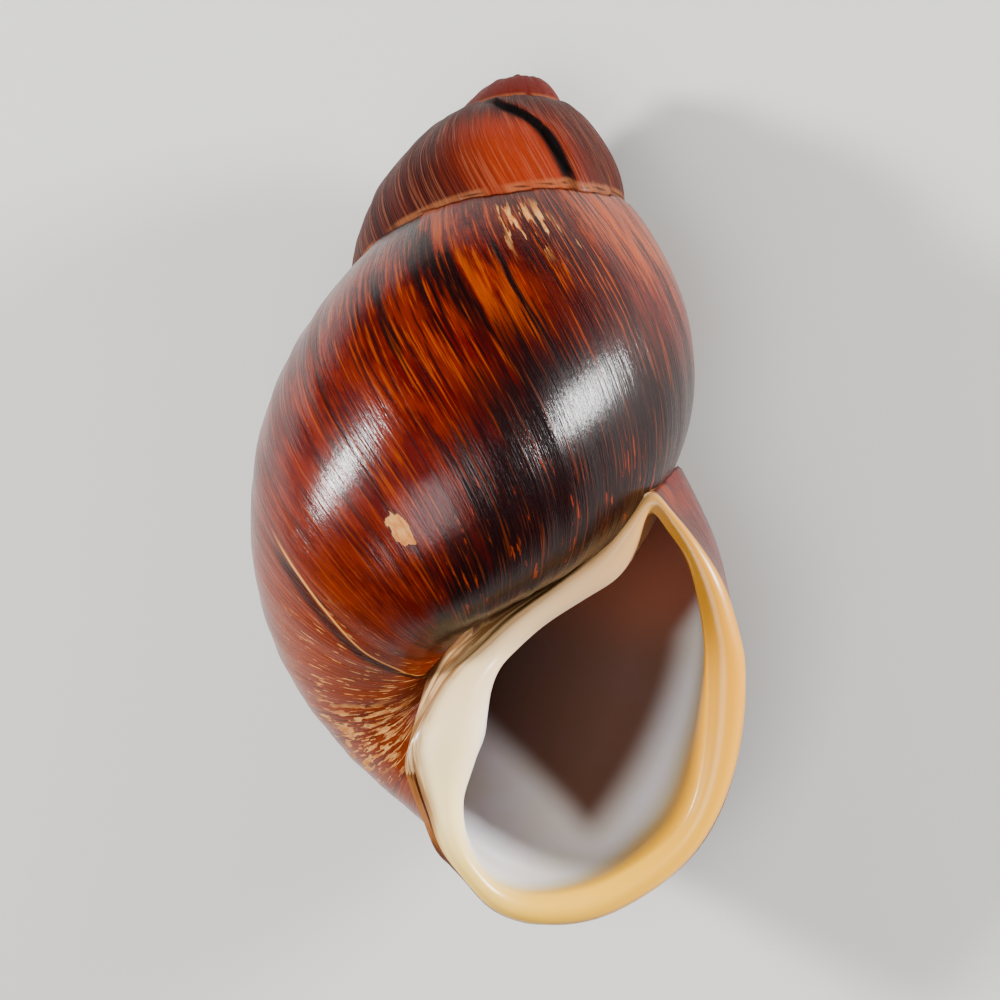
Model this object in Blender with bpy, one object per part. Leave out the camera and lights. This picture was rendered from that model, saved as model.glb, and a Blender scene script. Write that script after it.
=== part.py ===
"""Land snail shell about 90 mm tall, lying on its back with the opening upward.

The shell is a tube that grows along a right-handed spiral round the Z axis of its own frame, with the tip
up.  q counts whole turns back from the lip, so q = 0 is the lip and the oldest part has the largest q.
"""
import bpy
import bmesh
import math
from mathutils import Matrix, Vector

MM = 0.001

# Growth of the tube: the natural logarithm of each size in mm, as a polynomial in q.
LN_REACH = (2.3621, -0.1531, -0.0901, -0.0280, 0.0019)
LN_HALF_WIDTH = (2.6342, -0.1930, -0.0601, -0.0258, 0.0019)
LN_HALF_HEIGHT = (3.2418, -0.1609, -0.1474, -0.0061, 0.0019)
LN_DROP = (4.1558, -0.6476, -0.0223, 0.0029, -0.0031)

# Shape of the tube's cross-section, as parts of its size.
LEAN_DEG = 5.93
LEAN_DEG_PER_TURN = -0.68
THREE_LOBE_COS = 0.053
THREE_LOBE_SIN = -0.017
TWO_LOBE_SIN = -0.061
FOUR_LOBE_COS = -0.007

# Growth lines lean by these angles from the plane through the axis.
LINE_LEAN_DEG = 13.5
LINE_SKEW_DEG = 4.0

# Fuller places: how much, at which turn, over how many turns either way, and on which side of the tube.
# One is under the last whorl but one, where the lip is laid on it, and one at the base behind the lip.
BULGES = (
    (0.17, 0.80, 0.32, -72.0),
    (0.07, 0.20, 0.30, -108.0),
)

# The rest mark on the spire: the tube starts again smaller inside the old edge.
REST_TURN = 1.84
REST_STEP = 0.055
REST_RECOVERY_TURNS = 0.16

# How far the tube is modelled, in turns, and the flare behind the lip.
OLDEST_TURN = 3.45
LIP_FLARE = 0.10
LIP_FLARE_TURNS = 0.07

# The column on the axis: height and radius, from the tip down.
COLUMN = ((-3.4, 0.6), (-8.0, 1.1), (-20.0, 1.4), (-45.0, 2.6), (-62.0, 3.2), (-70.0, 2.2), (-74.0, 1.0))
COLUMN_POINTS = 14
NEAREST_AXIS_MM = 0.2
NEAREST_AXIS_MM_PER_TURN = 0.1

# Walls.
WALL_MM = 1.5
COLUMN_RADIUS_MM = 2.1
CALLUS_MM = 0.7
OLDEST_HOLLOW_TURN = 2.6
LIP_TO_WALL_TURNS = 0.09

# The plane of the opening.
MOUTH_CENTRE_MM = (11.6, -3.79, -65.77)
MOUTH_TURN_DEG = 14.5
MOUTH_LEAN_DEG = 26.7

# The lip, round the opening from the middle of the outer side downward: outer edge across and up,
# inner edge across and up, and how far the pair lies behind the plane.  All in mm.
LIP = (
    (15.01, 3.1, 10.91, 2.94, 0.0),
    (15.71, -4.05, 11.89, -3.98, 0.0),
    (14.62, -10.98, 11.72, -10.36, 0.0),
    (11.64, -16.73, 9.27, -14.61, 0.0),
    (5.79, -21.77, 4.74, -18.53, 0.0),
    (0.02, -23.48, -0.43, -20.44, 0.0),
    (-4.86, -22.75, -4.48, -20.29, 0.0),
    (-8.85, -19.67, -7.2, -18.47, 0.0),
    (-11.07, -17.41, -8.67, -16.21, 0.0),
    (-12.64, -14.41, -9.56, -13.48, 0.0),
    (-14.29, -11.22, -9.34, -10.36, 0.0),
    (-15.45, -8.17, -8.9, -6.7, 0.0),
    (-14.84, -5.36, -8.91, -3.14, 0.4),
    (-13.27, -1.68, -8.05, -0.2, 1.5),
    (-10.77, 1.03, -6.32, 1.94, 2.8),
    (-7.86, 4.59, -4.22, 4.49, 3.0),
    (-4.09, 8.33, -0.96, 7.42, 3.0),
    (-0.92, 11.76, 1.89, 9.99, 3.0),
    (1.27, 15.49, 3.05, 13.15, 3.0),
    (3.25, 18.57, 3.5, 16.6, 3.0),
    (5.35, 17.2, 5.24, 15.2, 2.0),
    (8.25, 14.65, 7.05, 13.25, 1.0),
    (11.2, 11.39, 8.41, 10.6, 0.3),
    (13.55, 7.08, 9.9, 6.81, 0.0),
)

# Rounding of the lip: share of the way from the outer to the inner edge, and depth behind the crest in mm
# for a lip LIP_WIDTH_MM wide.
LIP_WIDTH_MM = 3.8
LIP_OUTSIDE = ((0.0, 2.4), (0.0, 1.2), (0.16, 0.4), (0.42, 0.0), (0.90, -0.2))
LIP_INSIDE = ((0.52, -2.0), (0.62, 0.25), (0.86, 0.75), (1.0, 1.6))

# Facets.
OUTSIDE_POINTS = 30
OUTSIDE_STEPS_PER_TURN = 22
INSIDE_POINTS = 24
INSIDE_STEPS_PER_TURN = 16

# How it lies: the direction of its own frame that points up, and the turn about it.  The back is flat to
# this depth where it rests, which is what the skin of a real one wears to and what keeps it from rolling.
UP = (-0.1975, -0.9481, -0.2493)
TURN_DEG = 0.0
REST_FLAT_MM = 0.35


def poly(terms, q):
    return sum(c * q ** i for i, c in enumerate(terms))


def smooth(t):
    t = min(1.0, max(0.0, t))
    return t * t * (3.0 - 2.0 * t)


def spread(f, q):
    """Size of the cross-section in direction f as a part of its ellipse."""
    k = 1.0 + THREE_LOBE_COS * math.cos(3.0 * f) + THREE_LOBE_SIN * math.sin(3.0 * f)
    k += TWO_LOBE_SIN * math.sin(2.0 * f) + FOUR_LOBE_COS * math.cos(4.0 * f)
    for amount, turn, span, side_deg in BULGES:
        near = abs(q - turn) / span
        side = math.cos(f - math.radians(side_deg))
        k += amount * (1.0 - smooth(near)) * max(0.0, side) ** 2
    back = (REST_TURN - q) / REST_RECOVERY_TURNS
    if 0.0 < back < 1.0:
        k *= 1.0 - REST_STEP * (1.0 - smooth(back))
    return k


def edge(q, f, share=1.0):
    """Point of the tube's outline in direction f, out from and along the axis, from the tube's centre."""
    k = spread(f, q) * share
    u0 = math.exp(poly(LN_HALF_WIDTH, q)) * k * math.cos(f)
    w0 = math.exp(poly(LN_HALF_HEIGHT, q)) * k * math.sin(f)
    lean = math.radians(LEAN_DEG + LEAN_DEG_PER_TURN * q)
    return u0 * math.cos(lean) + w0 * math.sin(lean), w0 * math.cos(lean) - u0 * math.sin(lean)


def centre(q):
    return math.exp(poly(LN_REACH, q)), -math.exp(poly(LN_DROP, q))


def beyond(q, rho, z):
    """How far a point is outside the outline at q, as a part of its size; negative inside."""
    reach, level = centre(q)
    du, dw = rho - reach, z - level
    lean = math.radians(LEAN_DEG + LEAN_DEG_PER_TURN * q)
    u0 = (du * math.cos(lean) - dw * math.sin(lean)) / math.exp(poly(LN_HALF_WIDTH, q))
    w0 = (du * math.sin(lean) + dw * math.cos(lean)) / math.exp(poly(LN_HALF_HEIGHT, q))
    return math.hypot(u0, w0) / spread(math.atan2(w0, u0), q) - 1.0


def line_turn(at, u, w, lean_share=1.0):
    """Turn at which a growth line that passes the tube's centre at `at` meets the point (u, w)."""
    reach = max(centre(at)[0], 3.0)
    shift = w * math.tan(math.radians(LINE_LEAN_DEG)) + u * math.tan(math.radians(LINE_SKEW_DEG))
    return at - lean_share * max(-0.9, min(0.9, shift / (2.0 * math.pi * reach)))


def spot(q, u, w):
    reach, level = centre(q)
    rho = max(NEAREST_AXIS_MM + NEAREST_AXIS_MM_PER_TURN * q, reach + u)
    angle = 2.0 * math.pi * q
    return Vector((rho * math.cos(angle), rho * math.sin(angle), level + w))


def lip_row(t):
    """Row of the lip table at t of the way round, eased between rows."""
    n = len(LIP)
    i, s = int(t * n) % n, t * n - math.floor(t * n)
    rows = [LIP[(i + k) % n] for k in (-1, 0, 1, 2)]
    out = []
    for a, b, c, d in zip(*rows):
        out.append(b + 0.5 * s * (c - a + s * (2 * a - 5 * b + 4 * c - d + s * (3 * (b - c) + d - a))))
    return out


def mouth_axes():
    turn, lean = math.radians(MOUTH_TURN_DEG), math.radians(MOUTH_LEAN_DEG)
    across = Vector((math.cos(turn), math.sin(turn), 0.0))
    up = Vector((math.sin(turn) * math.sin(lean), -math.cos(turn) * math.sin(lean), math.cos(lean)))
    return across, up, up.cross(across)


def lip_spot(t, share, depth):
    """Point of the lip: share of the way from the outer to the inner edge, depth behind its crest."""
    a, b, c, d, sunk = lip_row(t)
    wide = math.hypot(c - a, d - b) / LIP_WIDTH_MM
    across, up, back = mouth_axes()
    x, y = a + (c - a) * share, b + (d - b) * share
    return Vector(MOUTH_CENTRE_MM) + across * x + up * y + back * (sunk + depth * min(1.0, wide))


def lip_direction(t, inner):
    """Direction f, seen from the tube's centre, of the lip's edge at t."""
    p = lip_spot(t, 1.0 if inner else 0.0, 1.2)
    q = math.atan2(p.y, p.x) / (2.0 * math.pi)
    reach, level = centre(q)
    du, dw = math.hypot(p.x, p.y) * math.copysign(1.0, p.x) - reach, p.z - level
    lean = math.radians(LEAN_DEG + LEAN_DEG_PER_TURN * q)
    u0 = (du * math.cos(lean) - dw * math.sin(lean)) / math.exp(poly(LN_HALF_WIDTH, q))
    w0 = (du * math.sin(lean) + dw * math.cos(lean)) / math.exp(poly(LN_HALF_HEIGHT, q))
    return math.atan2(w0, u0)


def directions(count, inner):
    """Directions of the ring's points at the lip, running on in one sense."""
    out = []
    for i in range(count):
        f = lip_direction(i / count, inner)
        while out and f > out[-1] + 1.0:
            f -= 2.0 * math.pi
        while out and f < out[-1] - 4.0:
            f += 2.0 * math.pi
        out.append(f)
    return out


def lip_lag(t, f):
    """Turns by which the back of the lip at t lies behind the growth line of the lip."""
    p = lip_spot(t, *LIP_OUTSIDE[0])
    angle = math.atan2(p.y, p.x)
    if angle < -0.5 * math.pi:
        angle += 2.0 * math.pi
    u, w = edge(0.0, f)
    return min(0.35, max(0.0, angle / (2.0 * math.pi) - line_turn(0.0, u, w)))


def outside_ring(at, first, grow=0.0):
    ring = []
    n = len(first)
    ease = smooth(at / 0.4)
    for i, f0 in enumerate(first):
        f = f0 + (first[0] - 2.0 * math.pi * i / n - f0) * ease
        u, w = edge(at, f)
        q = line_turn(at, u, w) + lip_lag(i / n, f) * (1.0 - smooth(at / 0.6))
        u, w = edge(max(0.0, q), f, 1.0 + grow)
        ring.append(spot(q, u, w))
    return ring


def hollow_share(q, f):
    """Share of the way from the tube's centre to its outline where the hollow ends, in direction f."""
    u, w = edge(q, f)
    size = math.hypot(u, w)
    small = math.exp(poly(LN_HALF_WIDTH, q)) / math.exp(LN_HALF_WIDTH[0])
    share = 1.0 - WALL_MM * small ** 0.6 / size
    reach, level = centre(q)
    if u < 0.0:
        share = min(share, (reach - COLUMN_RADIUS_MM * small) / -u)
    lo = 0.0
    hi = None
    for k in range(1, 25):
        s = k / 24.0
        if beyond(q + 1.0, reach + u * s, level + w * s) < 0.0:
            hi = s
            break
        lo = s
    if hi is not None:
        for _ in range(12):
            mid = 0.5 * (lo + hi)
            if beyond(q + 1.0, reach + u * mid, level + w * mid) < 0.0:
                hi = mid
            else:
                lo = mid
        share = min(share, lo - CALLUS_MM * small / size)
    return max(0.12, share)


def lip_inside(t):
    """Turn of the lip's inner edge at t, and its size as a part of the tube's outline there."""
    p = lip_spot(t, 1.0, 1.6)
    q = math.atan2(p.y, p.x) / (2.0 * math.pi)
    reach, level = centre(q)
    u, w = edge(q, lip_direction(t, True))
    return q, math.hypot(math.hypot(p.x, p.y) - reach, p.z - level) / math.hypot(u, w)


def inside_ring(at, first):
    ring = []
    n = len(first)
    ease = smooth(at / 0.4)
    ease_size = smooth(at / LIP_TO_WALL_TURNS)
    for i, f0 in enumerate(first):
        f = f0 + (first[0] - 2.0 * math.pi * i / n - f0) * ease
        lip_turn, lip_size = lip_inside(i / n)
        q = at + lip_turn * (1.0 - smooth(at / 0.5))
        share = hollow_share(q, f)
        share += (min(lip_size, 0.98) - share) * (1.0 - ease_size)
        u, w = edge(q, f, share)
        ring.append(spot(q, u, w))
    return ring


def loft(name, rings, collection):
    """Closed solid through rings of equal count: a circle of points drawn out ring by ring."""
    bm = bmesh.new()
    made = bmesh.ops.create_circle(bm, cap_ends=True, segments=len(rings[0]), radius=1.0)
    verts = list(made["verts"])
    bm.verts.ensure_lookup_table()
    for v, p in zip(verts, rings[0]):
        v.co = p
    for ring in rings[1:]:
        edges = [bm.edges.get((verts[i - 1], verts[i])) for i in range(len(verts))]
        out = bmesh.ops.extrude_edge_only(bm, edges=edges)["geom"]
        new = {g for g in out if isinstance(g, bmesh.types.BMVert)}
        verts = [next(e.other_vert(v) for e in v.link_edges if e.other_vert(v) in new) for v in verts]
        for v, p in zip(verts, ring):
            v.co = p
    edges = [bm.edges.get((verts[i - 1], verts[i])) for i in range(len(verts))]
    cap = bmesh.ops.contextual_create(bm, geom=edges)["faces"]
    bmesh.ops.poke(bm, faces=cap)
    bmesh.ops.triangulate(bm, faces=bm.faces[:])
    bmesh.ops.recalc_face_normals(bm, faces=bm.faces[:])
    if bm.calc_volume(signed=True) < 0.0:
        bmesh.ops.reverse_faces(bm, faces=bm.faces[:])
    mesh = bpy.data.meshes.new(name)
    bm.to_mesh(mesh)
    bm.free()
    ob = bpy.data.objects.new(name, mesh)
    collection.objects.link(ob)
    return ob


def turns(first, last, per_turn):
    count = max(1, round((last - first) * per_turn))
    return [first + (last - first) * k / count for k in range(count + 1)]


def outside_rings():
    first = directions(OUTSIDE_POINTS, False)
    stops = turns(0.13, REST_TURN - 0.02, OUTSIDE_STEPS_PER_TURN)
    stops += [REST_TURN + 0.003] + turns(REST_TURN + 0.04, OLDEST_TURN, OUTSIDE_STEPS_PER_TURN)
    rings = [outside_ring(OLDEST_TURN + 0.08, first, -0.45)]
    for q in reversed(stops):
        rings.append(outside_ring(q, first, LIP_FLARE * math.exp(-(q / LIP_FLARE_TURNS) ** 2)))
    for q in (0.085, 0.05):
        rings.append(outside_ring(q, first, LIP_FLARE * math.exp(-(q / LIP_FLARE_TURNS) ** 2)))
    n = OUTSIDE_POINTS
    for share, depth in LIP_OUTSIDE:
        rings.append([lip_spot(i / n, share, depth) for i in range(n)])
    return rings


def inside_rings():
    first = directions(INSIDE_POINTS, True)
    rings = [inside_ring(q, first) for q in reversed(turns(0.12, OLDEST_HOLLOW_TURN, INSIDE_STEPS_PER_TURN))]
    rings += [inside_ring(q, first) for q in (0.075, 0.035)]
    n = INSIDE_POINTS
    for share, depth in reversed(LIP_INSIDE):
        rings.append([lip_spot(i / n, share, depth) for i in range(n)])
    return rings


def column_rings():
    out = []
    for level, radius in COLUMN:
        turn = [-2.0 * math.pi * i / COLUMN_POINTS for i in range(COLUMN_POINTS)]
        out.append([Vector((radius * math.cos(a), radius * math.sin(a), level)) for a in turn])
    return out


def material(name, hexa, rough):
    mat = bpy.data.materials.new(name)
    mat.use_nodes = True
    rgb = [int(hexa[i:i + 2], 16) / 255.0 for i in (1, 3, 5)]
    rgb = [c / 12.92 if c <= 0.04045 else ((c + 0.055) / 1.055) ** 2.4 for c in rgb]
    bsdf = mat.node_tree.nodes["Principled BSDF"]
    bsdf.inputs["Base Color"].default_value = (*rgb, 1.0)
    bsdf.inputs["Roughness"].default_value = rough
    return mat


def lay_down():
    """Turns the shell's own frame so that UP points to +Z and the tip points to +Y."""
    up = Vector(UP).normalized()
    tip = Vector((0.0, 0.0, 1.0))
    tip = (tip - up * tip.dot(up)).normalized()
    side = tip.cross(up)
    turn = Matrix.Rotation(math.radians(TURN_DEG), 4, "Z")
    return turn @ Matrix((side, tip, up)).to_4x4()


def main():
    for ob in list(bpy.data.objects):
        bpy.data.objects.remove(ob, do_unlink=True)
    scene = bpy.context.scene
    shown = bpy.data.collections.new("land snail shell")
    cutters = bpy.data.collections.new("cutters")
    scene.collection.children.link(shown)
    scene.collection.children.link(cutters)

    lie = lay_down()
    shell = loft("shell", [[lie @ p * MM for p in ring] for ring in outside_rings()], shown)
    column = loft("column", [[lie @ p * MM for p in ring] for ring in column_rings()], cutters)
    hollow = loft("hollow", [[lie @ p * MM for p in ring] for ring in inside_rings()], cutters)
    for ob in (column, hollow):
        ob.hide_render = True
        ob.display_type = "WIRE"
    rest = min(v.co.z for v in shell.data.vertices) + REST_FLAT_MM * MM
    for v in shell.data.vertices:
        v.co.z = max(v.co.z, rest)
    shell.data.materials.append(material("shell", "#6B2A14", 0.3))

    add = shell.modifiers.new("column", "BOOLEAN")
    add.operation = "UNION"
    add.object = column
    add.solver = "EXACT"
    add.use_self = True

    cut = shell.modifiers.new("hollow", "BOOLEAN")
    cut.operation = "DIFFERENCE"
    cut.object = hollow
    cut.solver = "EXACT"

    bpy.context.view_layer.update()
    evaluated = shell.evaluated_get(bpy.context.evaluated_depsgraph_get())
    low = min(v.co.z for v in evaluated.data.vertices)
    xs = [v.co.x for v in evaluated.data.vertices]
    ys = [v.co.y for v in evaluated.data.vertices]
    move = Vector((-(min(xs) + max(xs)) / 2.0, -(min(ys) + max(ys)) / 2.0, -low))
    for ob in (shell, column, hollow):
        ob.data.transform(Matrix.Translation(move))
    bpy.context.view_layer.update()


main()
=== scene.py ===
"""Land snail shell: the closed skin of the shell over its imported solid, with its colours, and a plain stage.

The shell is one tube wound in a right-handed spiral round the Z axis of its own frame, tip up.  `turn` counts
whole turns back from the lip along a growth line, and `side` is the direction round the tube: 0 is outward,
90 degrees is toward the tip.  The surface is one closed sock: down the outside from the tip, over the lip and
back up the inside.  Lengths are in millimetres in the shell's own frame until they are placed.
"""

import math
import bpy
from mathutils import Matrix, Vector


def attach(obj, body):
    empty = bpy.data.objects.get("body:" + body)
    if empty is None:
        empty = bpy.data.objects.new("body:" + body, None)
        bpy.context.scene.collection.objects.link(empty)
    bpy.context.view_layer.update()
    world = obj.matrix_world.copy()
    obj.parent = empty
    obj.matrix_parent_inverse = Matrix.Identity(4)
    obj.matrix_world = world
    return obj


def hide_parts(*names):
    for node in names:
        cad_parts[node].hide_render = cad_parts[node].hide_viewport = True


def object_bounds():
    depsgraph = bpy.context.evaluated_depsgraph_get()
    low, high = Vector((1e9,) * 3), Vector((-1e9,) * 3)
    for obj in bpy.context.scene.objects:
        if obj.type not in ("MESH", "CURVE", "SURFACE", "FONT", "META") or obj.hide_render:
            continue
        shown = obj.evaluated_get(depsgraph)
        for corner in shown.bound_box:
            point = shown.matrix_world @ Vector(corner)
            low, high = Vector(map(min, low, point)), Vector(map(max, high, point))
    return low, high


bl_info = {
    "name": "Land snail shell",
    "version": (1, 0, 0),
    "blender": (4, 5, 0),
    "location": "3D View > Sidebar > Snail shell",
    "description": "Makes a land snail shell from its growth law, with its colours and a plain stage",
    "category": "Add Mesh",
}

import bmesh
import bpy
import numpy as np
from bpy.props import FloatProperty, FloatVectorProperty, PointerProperty
from mathutils import Vector

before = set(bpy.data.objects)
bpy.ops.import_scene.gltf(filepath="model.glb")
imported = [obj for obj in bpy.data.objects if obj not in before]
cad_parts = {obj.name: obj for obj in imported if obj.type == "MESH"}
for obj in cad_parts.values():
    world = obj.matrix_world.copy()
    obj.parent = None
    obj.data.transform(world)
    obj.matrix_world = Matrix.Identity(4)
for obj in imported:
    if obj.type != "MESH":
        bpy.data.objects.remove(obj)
CAD_BOX = [list(corner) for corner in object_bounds()]
MM = 0.001

# The form, as in the solid: the natural logarithm of each size as a polynomial in turns back from the lip.
LN_REACH = (2.3621, -0.1531, -0.0901, -0.0280, 0.0019)
LN_HALF_WIDTH = (2.6342, -0.1930, -0.0601, -0.0258, 0.0019)
LN_HALF_HEIGHT = (3.2418, -0.1609, -0.1474, -0.0061, 0.0019)
LN_DROP = (4.1558, -0.6476, -0.0223, 0.0029, -0.0031)
LEAN_DEG, LEAN_DEG_PER_TURN = 5.93, -0.68
THREE_LOBE_COS, THREE_LOBE_SIN, TWO_LOBE_SIN, FOUR_LOBE_COS = 0.053, -0.017, -0.061, -0.007
LINE_LEAN_DEG, LINE_SKEW_DEG = 13.5, 4.0
BULGES = ((0.17, 0.80, 0.32, -72.0), (0.07, 0.20, 0.30, -108.0))
OLDEST_TURN, TIP_TURNS = 3.45, 0.16
LIP_FLARE, LIP_FLARE_TURNS = 0.10, 0.07
NEAREST_AXIS_MM, NEAREST_AXIS_MM_PER_TURN = 0.2, 0.1
WALL_MM, COLUMN_RADIUS_MM, CALLUS_MM, BURIED_MM = 1.5, 2.1, 0.7, 0.25
LIP_TO_WALL_TURNS = 0.09
# Turns from the lip over which it gives way to the plain tube: its columns, its lag outside and its lag inside.
EVEN_OUT_TURNS, LAG_TURNS, INSIDE_LAG_TURNS = 0.4, 0.6, 0.5
# As parts of the way out to the outline: the older turn isn't met, and the least that the hollow has.
NO_HIT, LEAST_HOLLOW = 9.0, 0.12
# The older turn is looked for in steps up to a part of that way, and then by halving.
HIT_STEPS, HIT_REACH, HIT_HALVINGS = 40, 1.05, 14

# The plane of the opening, and round it from the middle of the outer side downward: the lip's outer edge
# across and up, its inner edge across and up, and how far the pair lies behind the plane.
MOUTH_CENTRE = (11.6, -3.79, -65.77)
MOUTH_TURN_DEG, MOUTH_LEAN_DEG = 14.5, 26.7
LIP = (
    (15.01, 3.1, 10.91, 2.94, 0.0),
    (15.71, -4.05, 11.89, -3.98, 0.0),
    (14.62, -10.98, 11.72, -10.36, 0.0),
    (11.64, -16.73, 9.27, -14.61, 0.0),
    (5.79, -21.77, 4.74, -18.53, 0.0),
    (0.02, -23.48, -0.43, -20.44, 0.0),
    (-4.86, -22.75, -4.48, -20.29, 0.0),
    (-8.85, -19.67, -7.2, -18.47, 0.0),
    (-11.07, -17.41, -8.67, -16.21, 0.0),
    (-12.64, -14.41, -9.56, -13.48, 0.0),
    (-14.29, -11.22, -9.34, -10.36, 0.0),
    (-15.45, -8.17, -8.9, -6.7, 0.0),
    (-14.84, -5.36, -8.91, -3.14, 0.4),
    (-13.27, -1.68, -8.05, -0.2, 1.5),
    (-10.77, 1.03, -6.32, 1.94, 2.8),
    (-7.86, 4.59, -4.22, 4.49, 3.0),
    (-4.09, 8.33, -0.96, 7.42, 3.0),
    (-0.92, 11.76, 1.89, 9.99, 3.0),
    (1.27, 15.49, 3.05, 13.15, 3.0),
    (3.25, 18.57, 3.5, 16.6, 3.0),
    (5.35, 17.2, 5.24, 15.2, 2.0),
    (8.25, 14.65, 7.05, 13.25, 1.0),
    (11.2, 11.39, 8.41, 10.6, 0.3),
    (13.55, 7.08, 9.9, 6.81, 0.0),
)
LIP_WIDTH_MM = 3.8
# The lip's rounding: share of the way from the outer to the inner edge, and depth behind its crest.
LIP_ROUND = (
    (0.00, 2.40), (0.00, 1.20), (0.05, 0.72), (0.15, 0.34), (0.29, 0.08), (0.45, 0.00), (0.60, 0.10),
    (0.74, 0.38), (0.87, 0.85), (1.00, 1.60),
)

# How it lies: rows turn the shell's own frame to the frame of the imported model, and the shift follows.
LIE = np.array(((0.978985, -0.203934, 0.0), (-0.050839, -0.244055, 0.968428), (-0.197495, -0.948076, -0.249294)))
MOVE = np.array((-1.5753, 43.4794, 9.8182))

# How near the skin may come to the solid's box: below, round the sides and on top.
BELOW_MM, BESIDE_MM, ABOVE_MM = 0.004, 0.02, 0.01

# Mesh: points round the tube, where round the lip the seam runs, and how many of them even out the lip's sides.
POINTS = 180
SEAM_AT = 0.667
EVEN_POINTS = 12
# Rows of the outside, by stretches from one turn to another: they are closest at the cleft.
TIP_ROWS = 12
STRETCHES = ((OLDEST_TURN, 1.95, 114), (1.95, 1.70, 66), (1.70, 1.25, 34), (1.25, 0.13, 138))
# Rows on either side of the lip, steps from one row of the lip to the next, and the rows of the inside.
NEAR_LIP, BEHIND_LIP = (0.16, 0.13, 0.085, 0.05), (0.035, 0.075, 0.12, 0.16)
LIP_STEPS = 4
INSIDE_TO_TURN, INSIDE_ROWS, INSIDE_MM_PER_TURN = 1.3, 40, 100.0
# Rounds of smoothing: on the lip, by mm past its outer edge, and on the tip, by rows.
SMOOTH_LIP_MM, LIP_ROUNDS, SMOOTH_TIP_ROWS, TIP_ROUNDS = (-0.6, 9.0), 8, 30, 40
# Points nearer than this are one point, and edges shorter than this are none.
SAME_POINT_M, NO_EDGE_M = 1e-7, 1e-8

# Maps for the patterns: reach of the spiral, radius of a growth line, its part on the spire, and where that
# starts.
OUTER_REACH_MM, LINE_RADIUS_MM, SPIRE_PART, SPIRE_FROM = 24.0, 19.0, 0.55, 1.45
FAR_FROM_SEAM_MM = 20.0
# The skin ends on the lip's outer edge, and further back on the inner side of the opening: from, to, eased over.
BARE_MM, BARE_FROM, BARE_TO, BARE_EASE = -2.4, 0.42, 0.84, 0.06

# Growth swells: how many kinds, how often they come in a turn, and the height of one that comes ten times.
SWELL_SEED, SWELLS, SWELL_WAVES, SWELL_MM = 7, 26, (8.0, 62.0), 0.022
# They start behind the lip and end before the tip: turn, and turns over which they grow or fade.
SWELL_START, SWELL_END = (0.1, 0.2), (3.3, 0.8)
# The cleft on the spire, where growth rested: side in degrees and turn along it.
CLEFT = ((-20.0, 1.850), (14.0, 1.860), (43.0, 1.857), (62.0, 1.832), (78.0, 1.800), (95.0, 1.770))
# Its depth, the turns over which its edge drops and its younger side rises again, and the rim behind it.
CLEFT_MM, CLEFT_EDGE_TURNS, CLEFT_RISE_TURNS = 0.62, 0.004, 0.035
CLEFT_RIM_MM, CLEFT_RIM_AT, CLEFT_RIM_TURNS = 0.10, 0.01, 0.012
CLEFT_FROM_DEG, CLEFT_FROM_EASE, CLEFT_TO_DEG, CLEFT_TO_EASE = -8.0, 16.0, 92.0, 12.0

# The skin's patterns: mm along the spiral, mm along the growth line, a shift that sets them apart, detail and
# roughness.  The finest lines of the real skin are about 0.1 mm apart, too fine to show in the render, so the
# thin lines, the riblets and the wrinkles are drawn as coarse as they need to show.
SKIN_PATTERNS = {
    "broad": (7.0, 60.0, 0.0, 2.0, 0.50),
    "middle": (1.5, 26.0, 3.1, 4.0, 0.62),
    "fine": (0.42, 9.0, 7.7, 3.0, 0.60),
    "blotch": (4.0, 7.0, 12.3, 5.0, 0.65),
    "short": (0.55, 3.2, 21.0, 2.0, 0.50),
    "riblets": (0.34, 14.0, 61.0, 2.0, 0.50),
    "worn": (1.6, 3.4, 33.0, 4.0, 0.60),
    "top": (0.9, 7.0, 41.0, 3.0, 0.50),
    "torn": (1.1, 1.4, 55.0, 3.0, 0.60),
    "wrinkle": (0.26, 0.9, 3.0, 3.0, 0.70),
}
# Lines drawn across the skin, from the first side in degrees to the last: part of the way, and turn.
DARK_EDGE_SIDES, DARK_EDGE_TURNS = (-110.0, 10.0), (0.5, 0.9)
DARK_EDGE = ((0.0, 0.55), (0.17, 0.58), (0.30, 0.60), (0.42, 0.635), (0.62, 0.685), (0.83, 0.735), (1.0, 0.78))
PAUSE_SIDES, PAUSE_TURNS = (-110.0, -20.0), (0.4, 0.6)
PAUSE = ((0.0, 0.448), (0.08, 0.456), (0.24, 0.490), (0.44, 0.505), (0.70, 0.524), (1.0, 0.535))
CLEFT_TURNS = (1.7, 1.9)
PEEL_TURN, PEEL_HALF_TURNS, PEEL_SIDE, PEEL_HALF_SIDE = 0.636, 0.0085, -38.0, 5.0

# Round the lip from the middle of its outer side downward: colours of its face and of the wall behind it, and
# how many mm in from the outer edge the first gives way to the second.  None is the lip's own golden setting.
LIP_FACE = (
    (0.00, None), (0.12, "#D89A12"), (0.22, "#DEA828"), (0.29, "#E6C060"), (0.37, "#F0D490"), (0.48, "#E6CA98"),
    (0.66, "#B8946A"), (0.76, "#BC8C54"), (0.84, "#B4781A"), (0.95, "#C68406"), (1.00, None),
)
LIP_WALL = (
    (0.00, "#C8B48C"), (0.12, "#CCBC98"), (0.24, "#D6C8A8"), (0.36, "#FAF4EA"), (0.50, "#EEE4D6"),
    (0.70, "#CDB598"), (0.84, "#B88C58"), (1.00, "#C8B48C"),
)
LIP_REACH_MM = (0.0, 10.0)
LIP_REACH = (
    (0.0, 6.2), (0.10, 5.2), (0.20, 3.4), (0.30, 2.6), (0.50, 2.4), (0.70, 2.4), (0.80, 3.6), (0.90, 6.0),
    (1.0, 6.2),
)
# Stripes across the edge of the lip: scale, detail and roughness of their noise.
BAND_NOISE = (1.0, 3.0, 0.55)
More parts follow.
